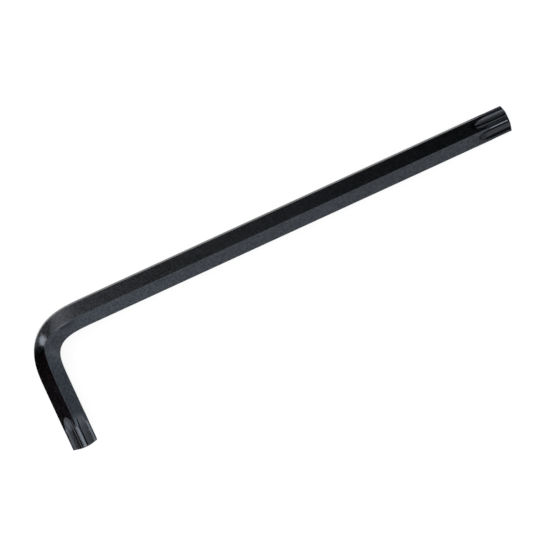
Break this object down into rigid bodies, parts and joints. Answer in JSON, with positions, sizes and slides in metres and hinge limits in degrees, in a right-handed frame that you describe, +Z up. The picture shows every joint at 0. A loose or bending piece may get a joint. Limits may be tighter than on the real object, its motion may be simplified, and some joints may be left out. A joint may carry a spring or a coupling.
{
  "type": "star key",
  "caption": "L-shaped hexagon bar key in blackened steel, bent at a right angle, with a six-lobe star ground on both ends to turn star-socket screws by hand.",
  "frame": {"origin": "on the surface that the key lies on, below the middle of its bounding box", "axes": "+X along the long arm from the bend to its tip, -Y along the short arm from the bend to its tip, +Z up from the surface, square to the plane of the bend"},
  "size_m": [0.162, 0.0414, 0.0091],
  "materials": {
    "blackened_bar": "black oxide over drawn steel, satin, faint lengthwise drawing marks",
    "ground_tip": "black oxide over ground flutes and turned lobes, a little brighter than the bar"
  },
  "bodies": {
    "root": {"long_arm": "blackened_bar", "bend": "blackened_bar", "short_arm": "blackened_bar", "long_star_tip": "ground_tip", "short_star_tip": "ground_tip"}
  },
  "joints": []
}
